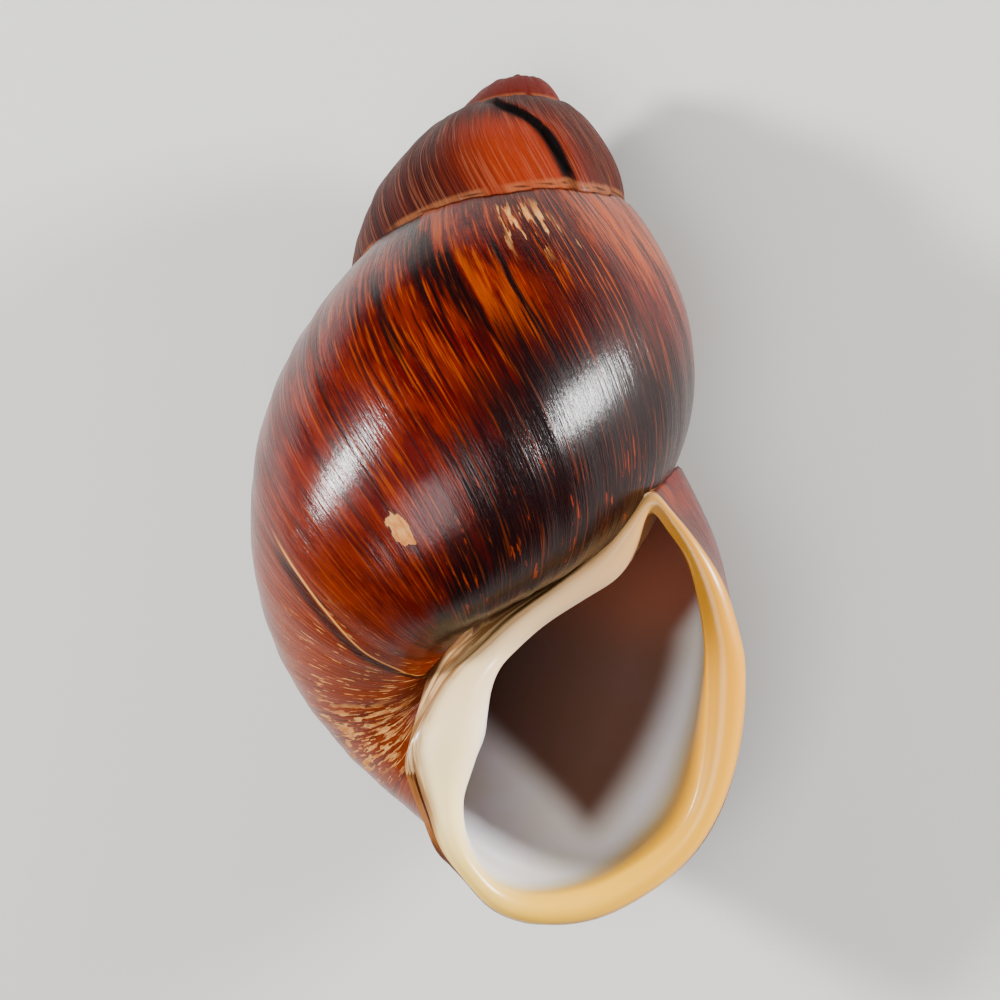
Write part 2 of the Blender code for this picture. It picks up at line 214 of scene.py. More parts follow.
# Lime grows in clouds of about 11 mm with a grain under 0.1 mm: the grain is drawn at 1.4 mm, so that it shows.
CLOUDS_PER_M, GRAINS_PER_M = 90.0, 700.0

# The stage, in metres and watts: each soft box's direction from what it lights, distance, sides and power.
FLOOR_HALF_M, LIT_SPOT = 1.5, (0.0, 0.0, 0.02)
SOFT_BOXES = (
    ("left soft box", (-0.82, 0.10, 0.57), 0.50, (0.08, 0.08), 5.5),
    ("right soft box", (0.93, 0.26, 0.24), 0.55, (0.13, 0.12), 10.0),
    ("front soft box", (-0.03, -0.30, 1.0), 0.90, (0.50, 0.50), 7.5),
)
CAMERA_AT, CAMERA_TURN_DEG = (0.107959, -0.049917, 0.453181), (6.553, 13.885, 1.535)
LENS_MM, SENSOR_MM, NEAREST_SEEN_M = 167.97, 36.0, 0.01

# A node's recipe: its type, its settings, its sockets in the order of the values, and its output.
RECIPES = {
    "plus": ("ShaderNodeMath", {"operation": "ADD"}, (0, 1), 0),
    "minus": ("ShaderNodeMath", {"operation": "SUBTRACT"}, (0, 1), 0),
    "times": ("ShaderNodeMath", {"operation": "MULTIPLY"}, (0, 1), 0),
    "over": ("ShaderNodeMath", {"operation": "DIVIDE"}, (0, 1), 0),
    "times plus": ("ShaderNodeMath", {"operation": "MULTIPLY_ADD"}, (0, 1, 2), 0),
    "larger": ("ShaderNodeMath", {"operation": "MAXIMUM"}, (0, 1), 0),
    "wrap": ("ShaderNodeMath", {"operation": "WRAP"}, (0, 1, 2), 0),
    "part": ("ShaderNodeMapRange", {}, ("Value", "From Min", "From Max"), 0),
    "fade": ("ShaderNodeMapRange", {"interpolation_type": "SMOOTHSTEP"}, ("Value", "From Min", "From Max"), 0),
    "mix": ("ShaderNodeMix", {"data_type": "RGBA", "clamp_factor": True}, ("Factor", 6, 7), 2),
    "ramp": ("ShaderNodeValToRGB", {}, ("Fac",), "Color"),
    "curve": ("ShaderNodeFloatCurve", {}, ("Value",), 0),
    "cells": ("ShaderNodeMapping", {}, ("Vector", "Scale", "Location"), 0),
    "noise": ("ShaderNodeTexNoise", {}, ("Vector", "Scale", "Detail"), "Fac"),
    "flat noise": (
        "ShaderNodeTexNoise", {"noise_dimensions": "2D"}, ("Vector", "Scale", "Detail", "Roughness"), "Fac"),
    "map": ("ShaderNodeUVMap", {}, (), 0),
    "attribute": ("ShaderNodeAttribute", {}, (), "Fac"),
    "object place": ("ShaderNodeTexCoord", {}, (), "Object"),
    "split": ("ShaderNodeSeparateXYZ", {}, (0,), 0),
    "join": ("ShaderNodeCombineXYZ", {}, (0, 1), 0),
    "bump": ("ShaderNodeBump", {}, ("Strength", "Distance", "Height"), 0),
}


def poly(terms, turn):
    return np.polyval(terms[::-1], turn)


def smooth(t):
    t = np.clip(t, 0.0, 1.0)
    return t * t * (3.0 - 2.0 * t)


def spread(side, turn):
    """Size of the cross-section toward a side as a part of its ellipse."""
    k = 1.0 + THREE_LOBE_COS * np.cos(3.0 * side) + THREE_LOBE_SIN * np.sin(3.0 * side)
    k = k + TWO_LOBE_SIN * np.sin(2.0 * side) + FOUR_LOBE_COS * np.cos(4.0 * side)
    for amount, at, span, side_deg in BULGES:
        facing = np.maximum(0.0, np.cos(side - math.radians(side_deg)))
        k = k + amount * (1.0 - smooth(np.abs(turn - at) / span)) * facing ** 2
    return k


def half_sizes(turn):
    return np.exp(poly(LN_HALF_WIDTH, turn)), np.exp(poly(LN_HALF_HEIGHT, turn))


def centre(turn):
    return np.exp(poly(LN_REACH, turn)), -np.exp(poly(LN_DROP, turn))


def lean(turn):
    return np.radians(LEAN_DEG + LEAN_DEG_PER_TURN * turn)


def outline(turn, side, share=1.0):
    """Out from the axis and along it, from the tube's centre to its outline toward a side."""
    wide, high = half_sizes(turn)
    k = spread(side, turn) * share
    across, along = wide * k * np.cos(side), high * k * np.sin(side)
    a = lean(turn)
    return across * np.cos(a) + along * np.sin(a), along * np.cos(a) - across * np.sin(a)


def beyond(turn, out, level):
    """How far points are outside the outline at a turn, as a part of its size, and that size in mm."""
    reach, middle = centre(turn)
    wide, high = half_sizes(turn)
    du, dw = out - reach, level - middle
    a = lean(turn)
    across, along = (du * np.cos(a) - dw * np.sin(a)) / wide, (du * np.sin(a) + dw * np.cos(a)) / high
    return np.hypot(across, along) / spread(np.arctan2(along, across), turn) - 1.0, np.sqrt(wide * high)


def line_turn(at, u, w):
    """Turn at which the growth line that passes the tube's centre at `at` meets a point of the outline."""
    reach = np.maximum(centre(at)[0], 3.0)
    shift = w * math.tan(math.radians(LINE_LEAN_DEG)) + u * math.tan(math.radians(LINE_SKEW_DEG))
    return at - np.clip(shift / (2.0 * math.pi * reach), -0.9, 0.9)


def spot(turn, u, w):
    reach, middle = centre(turn)
    out = np.maximum(NEAREST_AXIS_MM + NEAREST_AXIS_MM_PER_TURN * turn, reach + u)
    angle = 2.0 * math.pi * turn
    return np.stack([out * np.cos(angle), out * np.sin(angle), middle + w], -1)


def curved(a, b, c, d, s):
    """At s of the way from b to c, on a curve that runs on from a and to d."""
    return b + 0.5 * s * (c - a + s * (2 * a - 5 * b + 4 * c - d + s * (3 * (b - c) + d - a)))


def eased(rows, t):
    """Rows of a closed table at t of the way round, eased between them."""
    rows = np.array(rows)
    n = len(rows)
    i, s = np.floor(t * n).astype(int), (t * n - np.floor(t * n))[..., None]
    return curved(*(rows[(i + k) % n] for k in (-1, 0, 1, 2)), s)


def mouth_axes():
    turn, tilt = math.radians(MOUTH_TURN_DEG), math.radians(MOUTH_LEAN_DEG)
    across = Vector((math.cos(turn), math.sin(turn), 0.0))
    up = Vector((math.sin(turn) * math.sin(tilt), -math.cos(turn) * math.sin(tilt), math.cos(tilt)))
    return [np.array(axis) for axis in (across, up, up.cross(across))]


def lip_spot(t, share, depth):
    """Points of the lip: share of the way from the outer to the inner edge, depth behind its crest."""
    a, b, c, d, sunk = np.moveaxis(eased(LIP, t), -1, 0)
    wide = np.minimum(1.0, np.hypot(c - a, d - b) / LIP_WIDTH_MM)
    across, up, back = mouth_axes()
    x, y, z = a + (c - a) * share, b + (d - b) * share, sunk + depth * wide
    return np.array(MOUTH_CENTRE) + x[:, None] * across + y[:, None] * up + z[:, None] * back


def toward(p):
    """Turn and side of points, seen from the tube's centre."""
    turn = np.arctan2(p[:, 1], p[:, 0]) / (2.0 * math.pi)
    reach, middle = centre(turn)
    out = np.hypot(p[:, 0], p[:, 1]) * np.sign(p[:, 0])
    du, dw = out - reach, p[:, 2] - middle
    wide, high = half_sizes(turn)
    a = lean(turn)
    across, along = (du * np.cos(a) - dw * np.sin(a)) / wide, (du * np.sin(a) + dw * np.cos(a)) / high
    return turn, np.arctan2(along, across)


def lip_sides(t, share, depth):
    """Sides of the lip's edge round the opening, running on in one sense."""
    side = toward(lip_spot(t, share, depth))[1]
    for i in range(1, len(side)):
        while side[i] > side[i - 1] + 1.0:
            side[i] -= 2.0 * math.pi
        while side[i] < side[i - 1] - 4.0:
            side[i] += 2.0 * math.pi
    return side


class Way:
    """Columns of the surface: where each starts at the lip, and its side further back."""

    def __init__(self, share, depth, even=0):
        steps = np.arange(POINTS + 1) / POINTS
        whole = lip_sides(steps, share, depth)
        self.t = SEAM_AT + steps
        at_lip = np.interp(self.t % 1.0, steps, whole) - 2.0 * math.pi * np.floor(self.t)
        self.even_side = whole[0] - 2.0 * math.pi * self.t
        self.lip_side = at_lip
        if even:
            apart = (at_lip - self.even_side)[:-1]
            ring = np.concatenate([apart[-even:], apart, apart[:even]])
            apart = np.convolve(ring, np.ones(2 * even + 1) / (2 * even + 1), "valid")
            self.lip_side = self.even_side + np.append(apart, apart[0])

    def side(self, at):
        return self.lip_side + (self.even_side - self.lip_side) * smooth(at / EVEN_OUT_TURNS)


def lip_lag(t, side):
    """Turns by which the back of the lip lies behind the growth line of the lip."""
    p = lip_spot(t, *LIP_ROUND[0])
    angle = np.arctan2(p[:, 1], p[:, 0])
    angle = np.where(angle < -0.5 * math.pi, angle + 2.0 * math.pi, angle)
    u, w = outline(0.0, side)
    return np.clip(angle / (2.0 * math.pi) - line_turn(0.0, u, w), 0.0, 0.35)


def first_hit(turn, side):
    """Share of the way out to the outline at which the older turn's outline is met, and that way in mm."""
    u, w = outline(turn, side)
    reach, middle = centre(turn)
    lo, hi = np.zeros_like(u), np.full_like(u, NO_HIT)
    for k in range(1, HIT_STEPS + 1):
        s = k / HIT_STEPS * HIT_REACH
        inside = beyond(turn + 1.0, reach + u * s, middle + w * s)[0] < 0.0
        hi = np.where(inside & (hi == NO_HIT), s, hi)
        lo = np.where(hi == NO_HIT, s, lo)
    high = hi.copy()
    for _ in range(HIT_HALVINGS):
        mid = 0.5 * (lo + high)
        inside = beyond(turn + 1.0, reach + u * mid, middle + w * mid)[0] < 0.0
        high = np.where(inside, mid, high)
        lo = np.where(inside, lo, mid)
    return np.where((hi == NO_HIT) | (turn + 1.0 > OLDEST_TURN), NO_HIT, high), np.hypot(u, w)


def cleft_turn(side):
    degrees, turns = zip(*CLEFT)
    return np.interp(np.degrees(side), degrees, turns)


def relief(at, side):
    """Height in mm of growth swells and of the cleft."""
    rng = np.random.default_rng(SWELL_SEED)
    height = np.zeros_like(side)
    for _ in range(SWELLS):
        waves, phase, wander = rng.uniform(*SWELL_WAVES), rng.uniform(0.0, 6.28), rng.uniform(-1.5, 1.5)
        strength = SWELL_MM * (18.0 / (waves + 8.0))
        height += strength * np.sin(2.0 * math.pi * waves * at + phase + wander * np.sin(side * 2.0 + phase))
    seen = (side + math.pi) % (2.0 * math.pi) - math.pi
    gap = at - cleft_turn(seen)
    degrees = np.degrees(seen)
    held = smooth((degrees - CLEFT_FROM_DEG) / CLEFT_FROM_EASE) * smooth((CLEFT_TO_DEG - degrees) / CLEFT_TO_EASE)
    younger = np.where(gap < 0.0, np.exp(np.minimum(0.0, gap) / CLEFT_RISE_TURNS), 0.0)
    height -= CLEFT_MM * held * younger * smooth(-gap / CLEFT_EDGE_TURNS)
    height += CLEFT_RIM_MM * held * np.exp(-((gap - CLEFT_RIM_AT) / CLEFT_RIM_TURNS) ** 2)
    return height * smooth((SWELL_END[0] - at) / SWELL_END[1])


def flare(at):
    """How much the tube widens toward the lip, as a part of its size."""
    return LIP_FLARE * math.exp(-(at / LIP_FLARE_TURNS) ** 2)


def outside_row(at, way, grow):
    """Points of the outside along one growth line, their sides, and their mm from the joint with the next turn."""
    side = way.side(at)
    u, w = outline(at, side)
    turn = np.maximum(0.0, line_turn(at, u, w) + lip_lag(way.t, side) * (1.0 - smooth(at / LAG_TURNS)))
    hit, size = first_hit(turn, side)
    share = 1.0 + grow + relief(at, side) * smooth((at - SWELL_START[0]) / SWELL_START[1]) / size
    share = np.where(hit == NO_HIT, share, np.minimum(share, hit + BURIED_MM / size))
    u, w = outline(turn, side, share)
    p = spot(turn, u, w)
    out, level = np.hypot(p[:, 0], p[:, 1]), p[:, 2]
    older, older_size = beyond(turn + 1.0, out, level)
    younger, younger_size = beyond(turn - 1.0, out, level)
    seam = np.where(turn + 1.0 > OLDEST_TURN, FAR_FROM_SEAM_MM, np.abs(older) * older_size)
    seam = np.minimum(seam, np.where(turn < 1.0, FAR_FROM_SEAM_MM, np.abs(younger) * younger_size))
    return p, side, np.minimum(seam, FAR_FROM_SEAM_MM)


def hollow_share(turn, side):
    """Share of the way to the outline where the hollow ends."""
    hit, size = first_hit(turn, side)
    small = half_sizes(turn)[0] / math.exp(LN_HALF_WIDTH[0])
    u = outline(turn, side)[0]
    share = 1.0 - WALL_MM * small ** 0.6 / size
    room = (centre(turn)[0] - COLUMN_RADIUS_MM * small) / np.maximum(-u, 0.01)
    share = np.where(u < 0.0, np.minimum(share, room), share)
    share = np.where(hit < NO_HIT, np.minimum(share, hit - CALLUS_MM * small / size), share)
    return np.maximum(LEAST_HOLLOW, share)


def inside_row(at, way):
    """Points of the inside along one growth line, and their sides."""
    side = way.side(at)
    p = lip_spot(way.t, *LIP_ROUND[-1])
    lip_at = np.arctan2(p[:, 1], p[:, 0]) / (2.0 * math.pi)
    reach, middle = centre(lip_at)
    u, w = outline(lip_at, way.lip_side)
    lip_size = np.hypot(np.hypot(p[:, 0], p[:, 1]) - reach, p[:, 2] - middle) / np.hypot(u, w)
    turn = at + lip_at * (1.0 - smooth(at / INSIDE_LAG_TURNS))
    share = hollow_share(turn, side)
    share = share + (np.minimum(lip_size, 0.98) - share) * (1.0 - smooth(at / LIP_TO_WALL_TURNS))
    u, w = outline(turn, side, share)
    return spot(turn, u, w), side


def between(rows, steps):
    """Rows eased through given rows, with a number of steps in each gap; the first and last gap are left out."""
    out = []
    for i in range(1, len(rows) - 2):
        out += [curved(*rows[i - 1:i + 3], k / steps) for k in range(steps)]
    out.append(rows[-2])
    return out


def surface_rows():
    """Rows of the sock from the tip over the lip to the deep end of the hollow.

    Each is [points, turns, sides, profile, seams]: negative turns are inside, sides are in radians, profile is
    the distance in mm past the lip's outer edge, and seams are the mm from the joint with the next turn.
    """
    outer, inner = Way(*LIP_ROUND[1], even=EVEN_POINTS), Way(*LIP_ROUND[-1])
    stops = [OLDEST_TURN + TIP_TURNS - TIP_TURNS * k / TIP_ROWS for k in range(1, TIP_ROWS + 1)]
    for first, last, count in STRETCHES:
        stops += list(np.linspace(first, last, count))[1:]
    rows = []
    for at in stops:
        late = max(0.0, (at - OLDEST_TURN) / TIP_TURNS)
        grow = flare(at) + math.sqrt(max(0.0, 1.0 - late ** 2)) - 1.0
        p, side, seam = outside_row(at, outer, grow)
        rows.append([p, np.full(POINTS + 1, at), side, -OUTER_REACH_MM * 2.0 * math.pi * at, seam])

    near = [outside_row(at, outer, flare(at)) for at in NEAR_LIP]
    deep = [inside_row(at, inner) for at in BEHIND_LIP]
    guide = [row[0] for row in near]
    guide += [lip_spot(outer.t, share, depth) for share, depth in LIP_ROUND]
    guide += [row[0] for row in deep]
    lengths = [0.0]
    for a, b in zip(guide, guide[1:]):
        lengths.append(lengths[-1] + float(np.median(np.linalg.norm(b - a, axis=1))))
    zero = lengths[len(NEAR_LIP) + 1]
    turns = [*NEAR_LIP, BEHIND_LIP[0]] + [0.0] * (len(LIP_ROUND) - 1) + [-at for at in BEHIND_LIP]
    sides = [row[1] for row in near] + [outer.lip_side] * len(LIP_ROUND) + [row[1] for row in deep]
    far = np.full(POINTS + 1, FAR_FROM_SEAM_MM)
    for i, p in enumerate(between(guide, LIP_STEPS)[1:], 1):
        at = 1 + i / LIP_STEPS
        low = min(int(at), len(guide) - 2)
        part = at - low
        turn, side, length = (a[low] * (1 - part) + a[low + 1] * part for a in (turns, sides, lengths))
        rows.append([p, np.full(POINTS + 1, turn), side, length - zero, far])
    last = rows[-1][3]
    for at in np.linspace(BEHIND_LIP[-2], INSIDE_TO_TURN, INSIDE_ROWS)[1:]:
        p, side = inside_row(at, inner)
        profile = last + (at - BEHIND_LIP[-2]) * INSIDE_MM_PER_TURN
        rows.append([p, np.full(POINTS + 1, -at), side, profile, far])
    return rows


def gentle_stop(values, low, high, ease=0.25):
    """Keeps values between two limits, easing them over the last part of a millimetre."""
    def away(gap):
        return 0.5 * (gap + np.sqrt(gap * gap + ease * ease)) - 0.25 * ease * np.exp(-(gap / ease) ** 2)
    return high - away(high - (low + away(values - low)))


def placed(p):
    """Points of the shell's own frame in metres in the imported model's frame, inside the solid's box."""
    low, high = np.array(CAD_BOX[0]) / MM, np.array(CAD_BOX[1]) / MM
    q = p @ LIE.T + MOVE
    q[..., 2] = np.maximum(q[..., 2], low[2] + BELOW_MM)
    q[..., :2] = gentle_stop(q[..., :2], low[:2] + BESIDE_MM, high[:2] - BESIDE_MM)
    q[..., 2] = np.minimum(q[..., 2], high[2] - ABOVE_MM)
    return q * MM


def linear(hexa):
    """sRGB hex colour as linear red, green, blue."""
    parts = [int(hexa[i:i + 2], 16) / 255.0 for i in (1, 3, 5)]
    return tuple(c / 12.92 if c <= 0.04045 else ((c + 0.055) / 1.055) ** 2.4 for c in parts)


def rgba(colour):
    """A hex colour or a colour setting with its opacity."""
    return (*(linear(colour) if isinstance(colour, str) else colour[:3]), 1.0)


def set_stops(ramp, stops):
    """Sets the colours that a ramp eases between, each at its position."""
    elements = ramp.node.color_ramp.elements
    while len(elements) < len(stops):
        elements.new(0.5)
    for element, (position, colour) in zip(elements, stops):
        element.position = position
    for element, (position, colour) in zip(elements, stops):
        element.color = rgba(colour)
    return ramp


class Finish:
    """A material's tree: one way to add a node, and the patterns that are made of several."""

    def __init__(self, name):
        self.material = bpy.data.materials.new(name)
        self.material.use_nodes = True
        self.tree = self.material.node_tree

    def feed(self, socket, value):
        """Links what feeds a socket, or sets the number or colour on the socket itself."""
        if isinstance(value, bpy.types.NodeSocket):
            self.tree.links.new(value, socket)
        else:
            socket.default_value = rgba(value) if socket.type == "RGBA" else value

    def add(self, recipe, *values, **settings):
        """Adds a node with its settings and links, and gives its output."""
        kind, fixed, sockets, output = RECIPES[recipe]
        made = self.tree.nodes.new(kind)
        for name, setting in {**fixed, **settings}.items():
            setattr(made, name, setting)
        for socket, value in zip(sockets, values):
            self.feed(made.inputs[socket], value)
        return made.outputs[output]

    def surface(self, looks):
        """Sets what the shader shows, and gives the finished material."""
        shader = self.tree.nodes["Principled BSDF"]
        for name, value in looks.items():
            self.feed(shader.inputs[name], value)
        return self.material

    def product(self, *factors):
        out = factors[0]
        for factor in factors[1:]:
            out = self.add("times", out, factor)
        return out

    def largest(self, *values):
        out = values[0]
        for value in values[1:]:
            out = self.add("larger", out, value)
        return out

    def band(self, value, low, high, soft):
        """1 between low and high, smoothly 0 outside."""
        up = self.add("fade", value, low - soft, low + soft)
        return self.add("times", up, self.add("fade", value, high + soft, high - soft))

    def around(self, value, middle, strength, onto):
        """Adds to a value what another departs from its middle, times a strength."""
        return self.add("times plus", self.add("minus", value, middle), strength, onto)

    def map_pair(self, name):
        """The two numbers that a map of the surface holds at each point."""
        split = self.add("split", self.add("map", uv_map=name)).node
        return split.outputs[0], split.outputs[1]

    def streaks(self, growth, along_mm, across_mm, shift, detail, rough):
        """Noise in cells of so many mm along the spiral and along the growth line."""
        cells = self.add("cells", growth, (1.0 / along_mm, 1.0 / across_mm, 1.0), (shift, shift * 0.7, 0.0))
        return self.add("flat noise", cells, 1.0, detail, rough)

    def curve(self, value, points, low, high):
        """A height read off a curve through given points: value runs 0 to 1, heights run from low to high."""
        made = self.add("curve", value)
        line = made.node.mapping.curves[0]
        line.points[0].location = points[0][0], (points[0][1] - low) / (high - low)
        line.points[1].location = points[-1][0], (points[-1][1] - low) / (high - low)
        for x, y in points[1:-1]:
            line.points.new(x, (y - low) / (high - low))
        made.node.mapping.update()
        return self.add("times plus", made, high - low, low)


def skin_finish(look):
    """Horny skin, laid down in growth lines over shell lime and worn on the spire.

    To the eye it is a deep mahogany ground under a clear, lacquer-like gloss, with black, amber and cream streaks
    that follow the growth lines, and matt brick on the spire.  Places are in turns, and sides in degrees.
    """
    f = Finish("horny skin over shell")
    add, product, largest, band, around = f.add, f.product, f.largest, f.band, f.around
    turn, circle = f.map_pair("place")
    side = add("times", circle, 360.0)
    past_lip, round_lip = f.map_pair("lip")
    seam = add("attribute", attribute_name="seam")
    growth = add("map", uv_map="growth")
    made = {name: f.streaks(growth, *sizes) for name, sizes in SKIN_PATTERNS.items()}
    broad, middle, fine, blotch, short, torn = (
        made[name] for name in ("broad", "middle", "fine", "blotch", "short", "torn"))
    wander = around(middle, 0.5, 0.09, turn)
    wander = around(broad, 0.5, 0.05, wander)
    # Places are measured along a line that leans a little from the growth lines, as the streaks do.
    slant = around(side, 17.0, 0.00058, wander)
    upper = add("fade", side, -18.0, 16.0)

    # Mahogany, redder and brighter toward the older part of the turn.
    colour = add("mix", add("fade", blotch, 0.40, 0.62), look.mahogany, "#5C1100")
    red = product(add("fade", wander, 0.62, 0.45), add("fade", side, 5.0, -40.0), 0.8)
    colour = add("mix", red, colour, "#6E2602")
    colour = add("mix", product(band(slant, 0.83, 0.92, 0.03), upper, 0.75), colour, "#240503")

    # The dark zone in front of the opening, and the black streaks that run up from it.
    edge = f.curve(add("part", side, *DARK_EDGE_SIDES), DARK_EDGE, *DARK_EDGE_TURNS)
    ragged = around(blotch, 0.5, 0.10, add("minus", wander, edge))
    dark = product(add("fade", ragged, -0.03, 0.035), add("fade", side, 24.0, -8.0), add("fade", turn, 1.25, 1.0))
    calm = add("times plus", add("fade", wander, 0.56, 0.72), 0.55, 0.45)
    dark = largest(
        dark,
        product(add("fade", middle, 0.46, 0.38), add("fade", broad, 0.60, 0.42), calm),
        product(band(slant, 0.748, 0.766, 0.007), add("fade", side, -30.0, -10.0)),
        product(band(slant, 0.725, 0.735, 0.004), add("fade", side, 40.0, 60.0)))
    colour = add("mix", product(dark, 0.96), colour, look.black)

    # Amber and golden streaks.
    amber = product(
        band(slant, 0.776, 0.800, 0.010), add("fade", side, 0.0, 22.0), add("fade", middle, 0.36, 0.52))
    golden = product(
        add("fade", slant, 0.90, 0.96), add("fade", slant, 1.16, 1.02), add("fade", side, 22.0, 46.0),
        add("fade", middle, 0.38, 0.56))
    colour = add("mix", add("larger", product(amber, 0.6), product(golden, 0.7)), colour, look.amber)
    thin = product(add("fade", fine, 0.56, 0.68), add("minus", 1.0, product(dark, 0.75)))
    colour = add("mix", product(thin, add("times", calm, 0.6)), colour, look.amber)
    flecks = product(
        add("fade", short, 0.61, 0.67), add("fade", blotch, 0.52, 0.60), band(side, -75.0, -20.0, 12.0))
    colour = add("mix", product(flecks, dark, 0.7), colour, "#7E2604")
    colour = add("mix", product(add("fade", fine, 0.46, 0.36), 0.75, calm), colour, look.black)

    # Spire: worn matt, pinkish brick with fine dark riblets, and a soft orange-red middle.
    spire = add("fade", turn, 1.30, 1.40)
    brick = add("mix", add("fade", blotch, 0.38, 0.62), look.spire, "#380B04")
    glow = product(band(turn, 1.73, 1.87, 0.05), add("fade", side, 75.0, 40.0))
    brick = add("mix", product(glow, 0.6), brick, "#8C2605")
    riblets = add("fade", made["riblets"], 0.53, 0.42)
    brick = add("mix", product(riblets, add("minus", 1.0, product(glow, 0.7)), 0.75), brick, "#140403")
    brick = add("mix", product(add("fade", fine, 0.54, 0.66), 0.35), brick, "#84482E")
    brick = add("mix", add("fade", turn, 2.1, 2.5), brick, "#4E0A01")
    colour = add("mix", spire, colour, brick)
    # The cleft where growth rested: painted near black on its younger side, a painted shadow in the step over its
    # modelled drop.
    first, last = CLEFT[0][0], CLEFT[-1][0]
    points = [((x - first) / (last - first), y) for x, y in CLEFT]
    gap = add("minus", turn, f.curve(add("part", side, first, last), points, *CLEFT_TURNS))
    cleft = product(
        add("fade", gap, -0.024, -0.008), add("fade", gap, 0.004, -0.001), add("fade", side, -10.0, 12.0),
        add("fade", side, 94.0, 76.0))
    colour = add("mix", cleft, colour, "#060202")

    # A thin, fuzzy pale edge where one turn meets the next, and a dark line in the joint.
    pale = product(add("fade", seam, 0.45, 0.12), add("fade", broad, 0.30, 0.55), 0.5)
    colour = add("mix", pale, colour, "#8A5230")
    colour = add("mix", product(add("fade", seam, 0.14, 0.02), 0.8), colour, "#140402")

    # Cream dashes where the skin is lifting, at the base and under the joint.
    base = product(band(turn, 0.24, 0.52, 0.04), band(side, -120.0, -46.0, 14.0))
    dashes = product(add("fade", short, 0.645, 0.672), base)
    worn = product(
        add("fade", made["worn"], 0.53, 0.57), band(turn, 0.27, 0.385, 0.02), band(side, -98.0, -62.0, 8.0))
    top = product(
        add("fade", made["top"], 0.55, 0.59), band(slant, 0.84, 0.89, 0.012), band(side, 36.0, 64.0, 8.0))

    # The peeled patch in the middle of the front.
    x = add("over", add("minus", turn, PEEL_TURN), PEEL_HALF_TURNS)
    y = add("over", add("minus", side, PEEL_SIDE), PEEL_HALF_SIDE)
    away = around(torn, 0.5, 2.6, add("plus", add("times", x, x), add("times", y, y)))
    cream = largest(dashes, worn, top, add("fade", away, 1.05, 0.85))
    colour = add("mix", cream, colour, add("mix", add("fade", torn, 0.3, 0.7), look.peel, "#C08C50"))

    # The thin cream line of an old pause in growth, with a dark edge.
    after = add("minus", turn, f.curve(add("part", side, *PAUSE_SIDES), PAUSE, *PAUSE_TURNS))
    held = band(side, -104.0, -26.0, 6.0)
    colour = add("mix", product(band(after, -0.013, -0.002, 0.003), held, 0.8), colour, "#120302")
    colour = add("mix", product(band(after, -0.0008, 0.0016, 0.0008), held, 0.85), colour, "#C08440")

    # Skin against the lip is thin: brown with tan stripes.
    bands = add("join", add("times", past_lip, 1.7), add("times", round_lip, 9.0))
    stripes = add("mix", add("fade", add("flat noise", bands, *BAND_NOISE), 0.42, 0.58), "#2A0C03", "#8E5A2C")
    tan = add("mix", band(round_lip, 0.34, 0.52, 0.03), "#3E1204", stripes)
    colour = add("mix", product(add("fade", past_lip, -4.0, -1.2), 0.85), colour, tan)

    # Gloss: a clear coat over a duller ground, thin where the spire is worn and where the skin has come off.
    # Horn has an IOR near 1.5 and a roughness near 0.3; the coat is matched to the real skin's softer gloss.
    wrinkle = made["wrinkle"]
    dull = add("larger", product(spire, 0.28), product(cream, 0.3))
    rough = add("plus", around(wrinkle, 0.5, 0.2, 0.32), dull)
    # Relief: growth lines and wrinkles stand up, the peeled skin and the riblets of the spire lie lower.
    height = add("times plus", middle, 1.4, fine)
    height = add("times plus", wrinkle, 0.6, height)
    height = add("times plus", cream, -0.5, height)
    height = add("times plus", product(spire, riblets), -0.6, height)
    return f.surface({
        "Base Color": colour, "Roughness": rough, "Specular IOR Level": 0.05,
        "Coat Weight": add("minus", 0.56, product(dull, 1.5)), "Coat Roughness": 0.17, "Coat IOR": 1.40,
        "Normal": add("bump", 0.6, look.line_depth, height),
        "Coat Normal": add("bump", 0.4, look.line_depth, height),
    })


